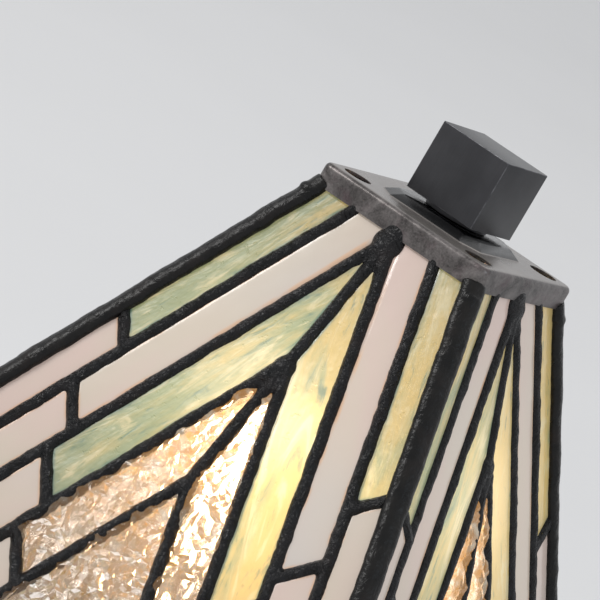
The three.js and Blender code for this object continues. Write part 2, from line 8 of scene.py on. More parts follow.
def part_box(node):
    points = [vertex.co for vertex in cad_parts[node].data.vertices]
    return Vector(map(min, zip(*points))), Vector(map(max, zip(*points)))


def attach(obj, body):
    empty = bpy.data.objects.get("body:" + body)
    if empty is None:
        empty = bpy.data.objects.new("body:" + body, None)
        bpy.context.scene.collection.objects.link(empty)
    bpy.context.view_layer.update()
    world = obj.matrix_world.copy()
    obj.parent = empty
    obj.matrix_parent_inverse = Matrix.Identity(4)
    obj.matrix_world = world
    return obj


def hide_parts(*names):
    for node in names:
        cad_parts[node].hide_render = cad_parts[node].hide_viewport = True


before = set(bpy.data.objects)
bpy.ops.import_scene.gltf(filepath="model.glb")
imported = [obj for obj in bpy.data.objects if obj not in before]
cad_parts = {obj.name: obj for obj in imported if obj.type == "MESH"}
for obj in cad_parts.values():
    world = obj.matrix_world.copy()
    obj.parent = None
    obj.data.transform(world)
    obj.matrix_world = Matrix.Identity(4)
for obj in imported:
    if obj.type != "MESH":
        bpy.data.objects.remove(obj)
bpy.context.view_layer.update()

# ---------------------------------------------------------------- felt pad
# A square of pressed wool felt glued under the foot, so that the iron doesn't mark the table. Its fibres
# show as a fine uneven nap.
FELT_GREEN = (0.025, 0.045, 0.034, 1)
FELT_WORN = (0.05, 0.075, 0.06, 1)


class Field:
    """A value that changes over a surface or along a shape. Sums on it add Math nodes to its tree."""

    def __init__(self, socket):
        self.socket = socket

    def node(self, kind, settings=None, inputs=None, out=0):
        """Adds a node: its settings first, then a value or a link for each named socket."""
        return add_node(self.socket.id_data, kind, settings, inputs, out)

    def math(self, operation, *others):
        inputs = {0: self, **{i + 1: other for i, other in enumerate(others)}}
        return self.node("ShaderNodeMath", {"operation": operation}, inputs)

    def __add__(self, other):
        return self.math("ADD", other)

    def __sub__(self, other):
        return self.math("SUBTRACT", other)

    def __mul__(self, other):
        return self.math("MULTIPLY", other)

    def __truediv__(self, other):
        return self.math("DIVIDE", other)

    def __pow__(self, other):
        return self.math("POWER", other)

    def __rsub__(self, other):
        return self.math("MULTIPLY", -1.0).math("ADD", other)

    def __rtruediv__(self, other):
        return self.math("POWER", -1.0).math("MULTIPLY", other)

    __radd__ = __add__
    __rmul__ = __mul__

    def between(self, low, high):
        """0 where this is under low, 1 where it is over high, smooth in between. low may be the larger."""
        inputs = {"Value": self, "From Min": low, "From Max": high}
        return self.node("ShaderNodeMapRange", {"interpolation_type": "SMOOTHSTEP"}, inputs)

    def blend(self, dark, light):
        """A colour: dark where this is 0, light where it is 1."""
        ends = {0: self, 6: dark, 7: light}
        return self.node("ShaderNodeMix", {"data_type": "RGBA"}, ends, out=2)

    def noise(self, scale, detail=3.0, roughness=0.5, distortion=0.0):
        """Cloudy noise at this place, scale features to the metre."""
        inputs = {
            "Vector": self,
            "Scale": scale,
            "Detail": detail,
            "Roughness": roughness,
            "Distortion": distortion,
        }
        return self.node("ShaderNodeTexNoise", None, inputs)

    def stretched(self, x, y, z):
        """This place with each axis scaled."""
        inputs = {0: self, 1: (x, y, z)}
        return self.node("ShaderNodeVectorMath", {"operation": "MULTIPLY"}, inputs)

    def part(self, axis):
        """One coordinate of this place."""
        return self.node("ShaderNodeSeparateXYZ", None, {0: self}, out="XYZ".index(axis))


def add_node(tree, kind, settings=None, inputs=None, out=0):
    made = tree.nodes.new(kind)
    for name, value in (settings or {}).items():
        setattr(made, name, value)
    for name, value in (inputs or {}).items():
        if isinstance(value, Field):
            tree.links.new(value.socket, made.inputs[name])
        else:
            made.inputs[name].default_value = value
    return Field(made.outputs[out])


class Finish:
    """A material: its constants go on the shader's own sockets, and what varies is linked to it."""

    def __init__(self, name, **constants):
        self.material = bpy.data.materials.new(name)
        self.material.use_nodes = True
        self.tree = self.material.node_tree
        self.shader = self.tree.nodes["Principled BSDF"]
        self.place = add_node(self.tree, "ShaderNodeTexCoord", out=3)
        for name, value in constants.items():
            self.shader.inputs[name.replace("_", " ")].default_value = value

    def attribute(self, name):
        """Three values kept on each vertex under this name."""
        return add_node(self.tree, "ShaderNodeAttribute", {"attribute_name": name}, out=1)

    def set(self, socket, field):
        self.tree.links.new(field.socket, self.shader.inputs[socket])

    def bump(self, height, distance, strength=1.0):
        inputs = {"Height": height, "Distance": distance, "Strength": strength}
        self.set("Normal", height.node("ShaderNodeBump", None, inputs))


def plain_copy(node, quads):
    """A CAD node's shape as a new mesh, its doubles merged and its triangles joined into larger faces."""
    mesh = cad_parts[node].data.copy()
    made = bmesh.new()
    made.from_mesh(mesh)
    bmesh.ops.remove_doubles(made, verts=made.verts, dist=1e-6)
    if quads:
        limits = {"angle_face_threshold": math.radians(4), "angle_shape_threshold": math.radians(80)}
        bmesh.ops.join_triangles(made, faces=made.faces, **limits)
    else:
        bmesh.ops.dissolve_limit(made, angle_limit=math.radians(1), verts=made.verts, edges=made.edges)
    made.to_mesh(mesh)
    made.free()
    mesh.materials.clear()
    return mesh


def add_piece(name, mesh, finish, body, *nodes):
    """Puts a mesh in the scene in one finish, riding on a body and standing for CAD nodes."""
    piece = bpy.data.objects.new(name, mesh)
    bpy.context.scene.collection.objects.link(piece)
    mesh.materials.append(finish.material)
    for face in mesh.polygons:
        face.use_smooth = True
    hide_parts(*nodes)
    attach(piece, body)
    return piece


def settle(piece):
    """Applies a piece's modifiers, so that it is a plain mesh."""
    bpy.context.view_layer.update()
    evaluated = piece.evaluated_get(bpy.context.evaluated_depsgraph_get())
    mesh = bpy.data.meshes.new_from_object(evaluated)
    old = piece.data
    piece.modifiers.clear()
    piece.data = mesh
    bpy.data.meshes.remove(old)


def eased(node, finish, body, edge, levels=0, segments=2, angle=28, edge_highlight=None):
    """A CAD node with its sharp edges rounded, and its round parts made smoother by subdivision."""
    piece = add_piece(node + "_finished", plain_copy(node, levels > 0), finish, body, node)
    bevel = piece.modifiers.new("eased_edges", "BEVEL")
    # Bevel faces may take a second finish, such as a painted edge highlight.
    if edge_highlight:
        piece.data.materials.append(edge_highlight.material)
        bevel.material = 1
    bevel.width = edge
    bevel.segments = segments
    bevel.limit_method = "ANGLE"
    bevel.angle_limit = math.radians(angle)
    bevel.harden_normals = levels == 0
    if levels:
        smooth = piece.modifiers.new("rounder", "SUBSURF")
        smooth.levels = smooth.render_levels = levels
    settle(piece)


felt = Finish("pressed_felt", Roughness=0.95, Sheen_Weight=0.4)
felt_nap = felt.place.noise(900, 4, 0.7)
felt.set("Base Color", felt_nap.between(0.35, 0.7).blend(FELT_GREEN, FELT_WORN))
felt.bump(felt_nap, 0.0006)
eased("felt_pad", felt, "base", 0.0005)

# ---------------------------------------------------------------- base castings
# The foot, step, plinth, column, collar and neck are iron castings in dark bronze paint. The paint is
# rubbed a little lighter in patches, and the sand mould's grain shows through it.
BRONZE_DARK = (0.021, 0.017, 0.015, 1)
BRONZE_WARM = (0.062, 0.043, 0.032, 1)
BRONZE_RUBBED = (0.16, 0.11, 0.075, 1)
CASTINGS = {
    "base_foot": 0.0012,
    "base_step": 0.0012,
    "column_plinth": 0.0012,
    "column": 0.0009,
    "column_collar": 0.001,
    "neck_plate": 0.0008,
}


def bronze_paint():
    made = Finish("dark_bronze_paint", Metallic=0.75, Coat_Weight=0.25, Coat_Roughness=0.3)
    cloud = made.place.noise(38, 5, 0.6, 0.6)
    grain = made.place.noise(950, 3, 0.6)
    rub = (made.place.noise(160, 4, 0.65).between(0.42, 0.7) * cloud.between(0.4, 0.65)) * 0.7
    base = cloud.between(0.3, 0.72).blend(BRONZE_DARK, BRONZE_WARM)
    made.set("Base Color", rub.blend(base, BRONZE_RUBBED))
    made.set("Roughness", 0.36 + grain * 0.16 + cloud * 0.08)
    made.bump(grain + cloud * 3.0, 0.00022, 0.7)
    return made


bronze = bronze_paint()
for casting, edge in CASTINGS.items():
    eased(casting, bronze, "base", edge, segments=3)
eased("neck_spacer", bronze, "base", 0.0006, levels=2)

# ---------------------------------------------------------------- ballast, pipe and cord bushing
# A cast iron plate inside the foot holds the lamp down. The hollow pipe runs from its nut to the socket,
# and a moulded bushing lines the hole at the back where a cord would leave.
IRON_DARK = (0.03, 0.03, 0.032, 1)
IRON_SCALE = (0.09, 0.085, 0.08, 1)
ZINC_DULL = (0.42, 0.43, 0.44, 1)
ZINC_BRIGHT = (0.6, 0.61, 0.62, 1)
PHENOLIC_BROWN = (0.022, 0.014, 0.01, 1)
PHENOLIC_FLECK = (0.05, 0.03, 0.02, 1)


def mottled(name, dark, light, metallic, roughness, scale, grain, **constants):
    """A finish whose colour wanders between two tones, with a fine grain in its height."""
    made = Finish(name, Metallic=metallic, **constants)
    cloud = made.place.noise(scale, 5, 0.6, 0.4)
    fine = made.place.noise(scale * 14, 3, 0.6)
    made.set("Base Color", cloud.between(0.32, 0.68).blend(dark, light))
    made.set("Roughness", roughness + (fine - 0.5) * 0.18 + (cloud - 0.5) * 0.1)
    made.bump(fine + cloud, grain)
    return made


iron = mottled("rough_iron", IRON_DARK, IRON_SCALE, 0.7, 0.75, 60, 0.0006)
zinc = mottled("zinc_plate", ZINC_DULL, ZINC_BRIGHT, 1.0, 0.34, 120, 0.00008)
phenolic = mottled(
    "brown_moulding", PHENOLIC_BROWN, PHENOLIC_FLECK, 0.0, 0.38, 400, 0.00005, Coat_Weight=0.3
)
eased("ballast_plate", iron, "base", 0.0012)
eased("pipe_washer", zinc, "base", 0.0002, levels=1)
eased("pipe_nut", zinc, "base", 0.0004)
eased("cord_bushing", phenolic, "base", 0.0003, levels=2)
eased("lamp_pipe", zinc, "base", 0.0002, levels=1)

# ---------------------------------------------------------------- neck block
# A square block in the finial's charcoal paint, brushed up and down before it was painted. It joins the
# column to the neck.
CHARCOAL = (0.022, 0.022, 0.025, 1)
CHARCOAL_LIGHT = (0.036, 0.036, 0.04, 1)


def brushed_charcoal():
    made = Finish("brushed_charcoal", Metallic=0.35, Specular_IOR_Level=0.5)
    lines = made.place.stretched(1, 1, 0.03).noise(2600, 3, 0.65)
    cloud = made.place.noise(90, 3)
    grain = made.place.noise(5200, 2, 0.7)
    made.set("Base Color", (lines * 0.3 + cloud * 0.7).between(0.3, 0.75).blend(CHARCOAL, CHARCOAL_LIGHT))
    made.set("Roughness", 0.26 + lines * 0.06 + grain * 0.08)
    made.bump(lines * 0.5 + grain * 0.5, 0.00002)
    return made


charcoal = brushed_charcoal()
eased("neck_block", charcoal, "base", 0.0006, segments=3)

# ---------------------------------------------------------------- socket
# A turn-knob lamp socket: a spun brass cap and shell, a paper liner, a moulded core with its centre tongue,
# and a screw shell for the bulb.
BRASS_DEEP = (0.5, 0.31, 0.1, 1)
BRASS_BRIGHT = (0.72, 0.5, 0.2, 1)
CARD_BROWN = (0.16, 0.1, 0.055, 1)
CARD_PALE = (0.24, 0.16, 0.09, 1)
brass = mottled("lacquered_brass", BRASS_DEEP, BRASS_BRIGHT, 1.0, 0.26, 90, 0.00004, Coat_Weight=0.5)
card = mottled("paper_liner", CARD_BROWN, CARD_PALE, 0.0, 0.85, 500, 0.0001)
eased("socket_cap", brass, "base", 0.0003, levels=2)
eased("socket_shell", brass, "base", 0.0002, levels=1)
eased("socket_insulator", card, "base", 0.0001)
eased("socket_core", phenolic, "base", 0.0004)
eased("contact_tongue", brass, "base", 0.0001)
eased("screw_shell", zinc, "base", 0.0001, levels=1)
eased("switch_shaft", brass, "switch", 0.0002, levels=1)

# ---------------------------------------------------------------- turn knob
# The moulded knob that switches the bulb. Ribs around it give the fingers a grip.
KNOB_RIBS = 18
knob_low, knob_high = (Vector(corner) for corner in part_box("switch_knob"))
knob_centre = (knob_low + knob_high) / 2
knob_radius = (knob_high.x - knob_low.x) / 2
knob_length = knob_high.y - knob_low.y


def lathe(profile, sides, ripple=None):
    """A closed surface turned about Z, from [radius, height] points that start and end on the axis."""
    made = bmesh.new()
    rings = []
    for radius, height in profile[1:-1]:
        ring = []
        for i in range(sides):
            angle = 2 * math.pi * i / sides
            reach = radius * (ripple(angle, radius, height) if ripple else 1)
            ring.append(made.verts.new((reach * math.cos(angle), reach * math.sin(angle), height)))
        rings.append(ring)
    ends = [made.verts.new((0, 0, height)) for _, height in (profile[0], profile[-1])]
    for i in range(sides):
        j = (i + 1) % sides
        for low, high in zip(rings, rings[1:]):
            made.faces.new((low[i], low[j], high[j], high[i]))
        made.faces.new((ends[0], rings[0][j], rings[0][i]))
        made.faces.new((ends[1], rings[-1][i], rings[-1][j]))
    bmesh.ops.recalc_face_normals(made, faces=made.faces)
    mesh = bpy.data.meshes.new("turned")
    made.to_mesh(mesh)
    made.free()
    return mesh


def knob_ribs(angle, radius, height):
    if radius < knob_radius * 0.8:
        return 1
    return 1 - 0.06 * (0.5 + 0.5 * math.cos(KNOB_RIBS * angle))


knob_profile = [
    (0, 0),
    (knob_radius * 0.72, 0),
    (knob_radius * 0.8, knob_length * 0.04),
    (knob_radius, knob_length * 0.12),
    (knob_radius, knob_length * 0.8),
    (knob_radius * 0.93, knob_length * 0.93),
    (knob_radius * 0.72, knob_length),
    (knob_radius * 0.6, knob_length * 0.97),
    (0, knob_length * 0.95),
]
knob_mesh = lathe(knob_profile, KNOB_RIBS * 6, knob_ribs)
knob_back = Vector((knob_centre.x, knob_high.y, knob_centre.z))
knob_mesh.transform(Matrix.Translation(knob_back) @ Matrix.Rotation(math.pi / 2, 4, "X"))
add_piece("ribbed_knob", knob_mesh, phenolic, "switch", "switch_knob")

# ---------------------------------------------------------------- harp
# A bent brass rod that carries the shade. Two sleeves lock its legs in the saddle, and the shade's cap
# rests on the flange of the stud at its top.
eased("harp_saddle", brass, "base", 0.0003)
eased("harp_sleeve_left", brass, "sleeve_left", 0.0003)
eased("harp_sleeve_right", brass, "sleeve_right", 0.0003)
eased("harp_bow", brass, "harp", 0.0002, levels=1, angle=60)
eased("harp_stud", brass, "harp", 0.0004, levels=1)

# ---------------------------------------------------------------- bulb
# A round frosted bulb with a plated screw cap, whose thread is shown as turned ridges. The powder inside
# the glass spreads the filament's light over the whole globe.
GLOW_AMBER = (0.8, 0.38, 0.1, 1)
GLOW_WARM = (1.0, 0.72, 0.4, 1)
GLOW_HOT = (1.0, 0.86, 0.66, 1)
STEM_DULL = (0.7, 0.66, 0.6, 1)
STEM_BRIGHT = (0.85, 0.82, 0.76, 1)
BULB_GLOW = 6.0
RIDGES, RIDGE_STEPS = 4, 40
RIDGE_DEPTH = 0.0011
globe_low, globe_high = (Vector(corner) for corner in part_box("bulb_envelope"))
globe_radius = (globe_high.x - globe_low.x) / 2
globe_z = globe_high.z - globe_radius
globe = Finish("frosted_globe", Roughness=0.35, Emission_Strength=BULB_GLOW)
globe_height = globe.place.part("Z")
globe_cloud = globe.place.noise(60, 3)
globe_heat = (globe_height - (globe_z - 0.02)) / 0.045 + (globe_cloud - 0.5) * 0.3
globe_colour = globe_heat.between(0, 1).blend(GLOW_WARM, GLOW_HOT)
globe.set("Base Color", globe_colour)
globe.set("Emission Color", globe_colour)
eased("bulb_envelope", globe, "bulb", 0.0001, levels=2)
frosting = mottled("stem_glass", STEM_DULL, STEM_BRIGHT, 0.0, 0.2, 300, 0.00003)
eased("bulb_stem", frosting, "bulb", 0.0002, levels=1)
eased("bulb_filament", zinc, "bulb", 0.0001, levels=1)
eased("bulb_contact", zinc, "bulb_seat", 0.0003, levels=1)

cap_low, cap_high = (Vector(corner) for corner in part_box("bulb_screw_cap"))
ridge_radius = (cap_high.x - cap_low.x) / 2
ridge_start = cap_low.z + 0.25 * (cap_high.z - cap_low.z)
ridge_profile = [(0, cap_low.z), (ridge_radius * 0.5, cap_low.z)]
for step in range(RIDGE_STEPS + 1):
    up = step / RIDGE_STEPS
    wave = 0.5 + 0.5 * math.cos(2 * math.pi * RIDGES * up)
    height = ridge_start + up * (cap_high.z - ridge_start)
    ridge_profile.append((ridge_radius - RIDGE_DEPTH * wave, height))
ridge_profile += [(ridge_radius * 0.9, cap_high.z), (0, cap_high.z)]
add_piece("screw_cap_threaded", lathe(ridge_profile, 48), zinc, "bulb", "bulb_screw_cap")

# ---------------------------------------------------------------- cut glass
# Each side of the shade is a flat fan of cut glass. Long strips run beside the hips, and slanting seams cut
# them into pieces: streaky green and amber, cream opal, and clear hammered glass in the middle.
LEAN = math.radians(22.5)
SLOPE = math.sin(LEAN)  # half the panel's width grows by this for each metre down the slope
TOP_HALF = 0.0372
PANEL_LENGTH = 0.300
GLASS_THICKNESS = 0.003
GLASS_TUCK = 0.004  # how far the glass runs up under the cap's skirt
FOIL = 0.0006  # from a seam's middle to the cut edge of the glass
HIP_LINE = TOP_HALF - 0.0015
OUTER_LINE, MIDDLE_LINE, INNER_LINE, CORE_LINE = 0.019, 0.0, -0.022, -0.0433
TIE_SLOPE = 1.2  # a cross seam drops by this for each metre towards the centre
BORDER_TOP = PANEL_LENGTH - 0.024
GLASS_BOTTOM = PANEL_LENGTH - 0.003
KITE_SIDE = 0.195
TIES = [
    (OUTER_LINE, HIP_LINE, 0.083),
    (OUTER_LINE, HIP_LINE, 0.195),
    (MIDDLE_LINE, OUTER_LINE, 0.117),
    (MIDDLE_LINE, OUTER_LINE, 0.218),
    (INNER_LINE, MIDDLE_LINE, 0.143),
    (INNER_LINE, MIDDLE_LINE, 0.240),
    (CORE_LINE, INNER_LINE, 0.1715),
]
SIDES = ("front", "right", "back", "left")
skirt_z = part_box("shade_cap")[0][2]


def on_line(line, down):
    """A point on a long seam, as [across, down], from the seam's place at the top and the distance down."""
    return Vector((line + SLOPE * down, down))


def top_of(line):
    """How far down a long seam starts, where the seams from both sides meet on the centre line."""
    return max(0.0, -line / SLOPE)


def glass_top(line):
    """A strip's upper corner on this line: on the centre line, or tucked up under the cap's skirt."""
    if line < 0:
        return Vector((0, top_of(line)))
    return Vector((max(0.0, line - SLOPE * GLASS_TUCK), -GLASS_TUCK))


def tie_ends(line_in, line_out, down):
    """The ends of a cross seam whose middle is this far down."""
    middle = (line_in + line_out) / 2 + SLOPE * down
    ends = []
    for line in (line_in, line_out):
        ends.append(on_line(line, (middle + down / TIE_SLOPE - line) / (SLOPE + 1 / TIE_SLOPE)))
    return ends


def strip_pieces(line_in, line_out, kinds):
    """The corners and glass kind of each piece in one strip, from the top down."""
    top = [glass_top(line_in), glass_top(line_out)]
    cut = []
    drops = [down for inner, outer, down in TIES if (inner, outer) == (line_in, line_out)]
    for down, kind in zip(drops, kinds):
        inside, outside = tie_ends(line_in, line_out, down)
        cut.append((kind, top + [outside, inside]))
        top = [inside, outside]
    for low, kind in ((BORDER_TOP, kinds[-2]), (GLASS_BOTTOM, kinds[-1])):
        cut.append((kind, top + [on_line(line_out, low), on_line(line_in, low)]))
        top = [on_line(line_in, low), on_line(line_out, low)]
    return cut


kite_side = on_line(CORE_LINE, KITE_SIDE)
kite_foot = Vector((0, KITE_SIDE + kite_side.x * TIE_SLOPE))
half_pieces = strip_pieces(OUTER_LINE, HIP_LINE, ["streaky", "opal", "opal", "streaky"])
half_pieces += strip_pieces(MIDDLE_LINE, OUTER_LINE, ["opal", "opal", "streaky", "opal"])
half_pieces += strip_pieces(INNER_LINE, MIDDLE_LINE, ["streaky", "opal", "opal", "streaky"])
half_pieces += strip_pieces(CORE_LINE, INNER_LINE, ["clear", "opal", "opal"])
core_low, core_foot = on_line(CORE_LINE, BORDER_TOP), on_line(CORE_LINE, GLASS_BOTTOM)
middle_low, middle_foot = Vector((0, BORDER_TOP)), Vector((0, GLASS_BOTTOM))
half_pieces += [
    ("streaky", [kite_foot, kite_side, core_low, middle_low]),
    ("streaky", [middle_low, core_low, core_foot, middle_foot]),
]
kite = [Vector((0, top_of(CORE_LINE))), kite_side, kite_foot, Vector((-kite_side.x, kite_side.y))]


def inset(corners, distance):
    """A convex outline with every edge moved inwards."""
    count = len(corners)
    area = sum(a.x * b.y - a.y * b.x for a, b in zip(corners, corners[1:] + corners[:1]))
    hand = math.copysign(1, area)
    edges = []
    for a, b in zip(corners, corners[1:] + corners[:1]):
        way = (b - a).normalized()
        edges.append((a + Vector((-way.y, way.x)) * hand * distance, way))
    moved = []
    for i in range(count):
        (p, u), (q, v) = edges[i - 1], edges[i]
        along = ((q.x - p.x) * v.y - (q.y - p.y) * v.x) / (u.x * v.y - u.y * v.x)
        moved.append(p + u * along)
    return moved


def add_pane(made, corners, hand, tone, seed):
    """One cut piece of glass, thinner at its ground edge, its grain and edge kept on each vertex."""
    grain = made.verts.layers.float_vector["grain"]
    marks = made.verts.layers.float_vector["marks"]
    corners = [Vector((hand * corner.x, -corner.y)) for corner in corners]
    way = Vector((hand * SLOPE, -1)).normalized()
    loops = []
    for distance, height, edge in ((FOIL, -0.0003, 1), (0.0025, 0, 1), (0.0034, 0.00005, 0)):
        outline = inset(corners, distance)
        for side, level in ((0, height), (1, -GLASS_THICKNESS - height)):
            ring = [made.verts.new((point.x, point.y, level)) for point in outline]
            for vertex in ring:
                spot = vertex.co.xy
                vertex[grain] = (spot.dot(way), spot.x * way.y - spot.y * way.x, seed)
                vertex[marks] = (edge, tone, side)
            loops.append(ring)
    fronts, backs = loops[0::2], loops[1::2]
    count = len(corners)
    for i in range(count):
        j = (i + 1) % count
        for ring, inner in zip(fronts, fronts[1:]):
            made.faces.new((ring[i], ring[j], inner[j], inner[i]))
        for ring, inner in zip(backs, backs[1:]):
            made.faces.new((ring[j], ring[i], inner[i], inner[j]))
        made.faces.new((fronts[0][j], fronts[0][i], backs[0][i], backs[0][j]))
    made.faces.new(fronts[-1])
    made.faces.new(list(reversed(backs[-1])))


def side_place(quarter):
    """From a panel's own plane, across, up the slope and out of the glass, to its place on the shade."""
    tilt = Matrix.Translation((0, -TOP_HALF, skirt_z)) @ Matrix.Rotation(math.pi / 2 - LEAN, 4, "X")
    return Matrix.Rotation(quarter * math.pi / 2, 4, "Z") @ tilt


def glass_mesh(kind, quarter):
    """All of one side's pieces of one kind of glass."""
    made = bmesh.new()
    made.verts.layers.float_vector.new("grain")
    made.verts.layers.float_vector.new("marks")
    for number, (cut_kind, corners) in enumerate(half_pieces):
        if cut_kind == kind:
            shade = math.sin(number * 2.4 + quarter) * 0.18
            add_pane(made, corners, 1, 0.68 + shade, number * 0.37 + quarter)
            add_pane(made, corners, -1, 0.36 + shade, number * 0.53 + quarter + 9)
    if kind == "clear":
        add_pane(made, kite, 1, 0.5, quarter)
    bmesh.ops.recalc_face_normals(made, faces=made.faces)
    mesh = bpy.data.meshes.new(kind)
    made.to_mesh(mesh)
    made.free()
    return mesh


def near_bulb(finish, reach):
    """How strongly the bulb lights this spot: 1 at this reach, falling with the distance squared."""
    inputs = {0: finish.place, 1: (0, 0, globe_z)}
    away = finish.place.node("ShaderNodeVectorMath", {"operation": "DISTANCE"}, inputs, out=1)
    return (reach / away) ** 2


def lit_from_inside(finish, colour, amount):
    """Painted glow: glass that emits its own colour in this amount, standing in for the bulb's light
    passing through it.
    """
    inputs = {0: colour, 3: amount}
    finish.set("Emission Color", colour.node("ShaderNodeVectorMath", {"operation": "SCALE"}, inputs))


OPAL_CREAM = (0.50, 0.43, 0.35, 1)
OPAL_ROSE = (0.53, 0.41, 0.36, 1)
OPAL_COOL = (0.47, 0.44, 0.41, 1)
PAINTED_FOIL_GLOW = (0.6, 0.31, 0.13, 1)
STREAK_GREEN = (0.23, 0.25, 0.14, 1)
STREAK_TEAL = (0.06, 0.13, 0.11, 1)
STREAK_AMBER = (0.43, 0.33, 0.14, 1)
STREAK_PAINTED_HOTSPOT = (0.72, 0.6, 0.4, 1)
STREAK_CREAM = (0.46, 0.40, 0.24, 1)


def painted_foil_edge(finish, amount):
    """A patchy band along the copper foil where the glass's colour is painted over: painted light leaking
    past the foil, brighter in some places than in others.
    """
    edge = finish.attribute("marks").part("X")
    patchy = finish.place.noise(70, 3).between(0.4, 0.62)
    return (edge ** 1.5) * patchy * amount


def opal_glass():
    made = Finish("cream_opal_glass", Roughness=0.16, Coat_Weight=0.4, Emission_Strength=1.0)
    grain = made.attribute("grain")
    milk = grain.stretched(9, 26, 1).noise(1, 4, 0.5, 0.6)
    cool = grain.stretched(5, 9, 1.7).noise(1, 3, 0.5, 0.3)
    colour = milk.between(0.34, 0.66).blend(OPAL_ROSE, OPAL_CREAM)
    colour = (cool.between(0.46, 0.72) * 0.8).blend(colour, OPAL_COOL)
    # Beside the foil the colour is painted amber, a painted glow of light leaking past the foil.
    colour = painted_foil_edge(made, 0.5).blend(colour, PAINTED_FOIL_GLOW)
    made.set("Base Color", colour)
    # A painted glow: the glass emits its colour, faintly everywhere and more strongly near the bulb.
    lit_from_inside(made, colour, 0.07 + near_bulb(made, 0.07) * 0.36)
    made.bump(made.place.noise(45, 2) + made.place.noise(420, 2) * 0.04, 0.0007, 0.4)
    return made


def streaky_glass():
    made = Finish(
        "streaky_glass", Roughness=0.3, Coat_Weight=0.7, Transmission_Weight=0.5, Emission_Strength=1.0
    )
    grain = made.attribute("grain")
    tone = made.attribute("marks").part("Y")
    broad = grain.stretched(12, 62, 1).noise(1, 4, 0.55, 1.6)
    fine = grain.stretched(70, 330, 1.3).noise(1, 4, 0.6, 0.8)
    wisp = grain.stretched(26, 120, 2.1).noise(1, 5, 0.6, 1.8)
    pits = made.place.noise(330, 2).between(0.66, 0.72)
    amber = (broad + (tone - 0.5) * 0.5 + (fine - 0.5) * 0.25).between(0.36, 0.66)
    colour = amber.blend(STREAK_GREEN, STREAK_AMBER)
    colour = wisp.between(0.5, 0.68).blend(colour, STREAK_CREAM)
    colour = ((fine * wisp).between(0.2, 0.11) * 0.75).blend(colour, STREAK_TEAL)
    # Beside the foil the colour is painted teal, a painted darkening along the seams.
    colour = painted_foil_edge(made, 0.8).blend(colour, STREAK_TEAL)
    # Near the bulb the colour is painted towards a hot cream, a painted hot spot, and the glass emits its
    # colour as a painted glow that grows towards the bulb.
    near = near_bulb(made, 0.075)
    colour = (near.between(0.85, 1.15) * 0.35).blend(colour, STREAK_PAINTED_HOTSPOT)
    made.set("Base Color", colour)
    lit_from_inside(made, colour, 0.09 + near ** 1.3 * 0.95)
    made.bump(fine * 0.4 + made.place.noise(80, 3) * 1.8 + wisp * 0.5 - pits * 0.4, 0.0007, 0.5)
    return made


opal = opal_glass()
streaky = streaky_glass()
for quarter, side in enumerate(SIDES):
    for kind, finish in (("opal", opal), ("streaky", streaky)):
        pane_mesh = glass_mesh(kind, quarter)
        pane_mesh.transform(side_place(quarter))
        outer_plates = (f"glass_{side}_left", f"glass_{side}_right")
        add_piece(f"{kind}_glass_{side}", pane_mesh, finish, "shade", *outer_plates)

# ---------------------------------------------------------------- hammered glass
# The middle pieces are clear glass pressed with deep, sharp facets, so that the bulb and the far side of
# the shade break up in it.
HAMMER_CELL = 140.0  # facets to the metre
HAMMER_DEPTH = 0.0024
FACET_GRID, FACET_SHARE = 0.0008, 0.16  # the slab's grid, and the share of its faces kept
CLEAR_WARM = (1.0, 0.97, 0.92, 1)
CLEAR_COOL = (0.97, 0.97, 0.95, 1)


def shape_tree(name, sizes):
    """A geometry tree with one geometry in, one out, and a named input for each size."""
    tree = bpy.data.node_groups.new(name, "GeometryNodeTree")
    tree.interface.new_socket("Geometry", in_out="INPUT", socket_type="NodeSocketGeometry")
    for size, value in sizes.items():
        tree.interface.new_socket(size, in_out="INPUT", socket_type="NodeSocketFloat").default_value = value
    tree.interface.new_socket("Geometry", in_out="OUTPUT", socket_type="NodeSocketGeometry")
    source = tree.nodes.new("NodeGroupInput")
    return tree, {socket.name: Field(socket) for socket in source.outputs if socket.name}


def close_tree(tree, geometry, material):
    """Ends a geometry tree: instances made real, and the finish set."""
    real = geometry.node("GeometryNodeRealizeInstances", None, {0: geometry})
    painted = real.node("GeometryNodeSetMaterial", None, {"Geometry": real, "Material": material})
    out = tree.nodes.new("NodeGroupOutput")
    tree.links.new(painted.socket, out.inputs[0])


def grow(piece, tree, **sizes):
    """Gives a piece a geometry tree as its last modifier, with these sizes."""
    modifier = piece.modifiers.new(tree.name, "NODES")
    modifier.node_group = tree
    for item in tree.interface.items_tree:
        if item.in_out == "INPUT" and item.name.replace(" ", "_") in sizes:
            modifier[item.identifier] = sizes[item.name.replace(" ", "_")]


def hammering(material):
    """Pushes a slab's front in with sharp-edged facets."""
    tree, given = shape_tree("hammering", {"Depth": HAMMER_DEPTH, "Facets": HAMMER_CELL, "Seed": 0.0})
    place = add_node(tree, "GeometryNodeInputPosition")
    out = add_node(tree, "GeometryNodeInputNormal")
    inputs = {"Vector": place, "W": given["Seed"], "Scale": 90.0, "Detail": 1.0}
    swirl = place.node("ShaderNodeTexNoise", {"noise_dimensions": "4D"}, inputs, out=1)
    swirl = swirl.node("ShaderNodeVectorMath", {"operation": "SCALE"}, {0: swirl, 3: 0.011})
    bent = place.node("ShaderNodeVectorMath", {"operation": "ADD"}, {0: place, 1: swirl})
    inputs = {"Vector": bent, "W": given["Seed"], "Scale": given["Facets"], "Randomness": 1.0}
    pyramids = {"voronoi_dimensions": "4D", "feature": "F1", "distance": "MANHATTAN"}
    cells = place.node("ShaderNodeTexVoronoi", pyramids, inputs)
    small = dict(inputs, Scale=given["Facets"] * 2.3)
    crumbs = place.node("ShaderNodeTexVoronoi", pyramids, small)
    front = out.part("Z").between(0.2, 0.8)
    depth = (cells + crumbs * 0.28 - 0.95) * given["Depth"] * front
    push = out.node("ShaderNodeVectorMath", {"operation": "SCALE"}, {0: out, 3: depth})
    inputs = {"Geometry": given["Geometry"], "Offset": push}
    close_tree(tree, push.node("GeometryNodeSetPosition", None, inputs), material)
    return tree


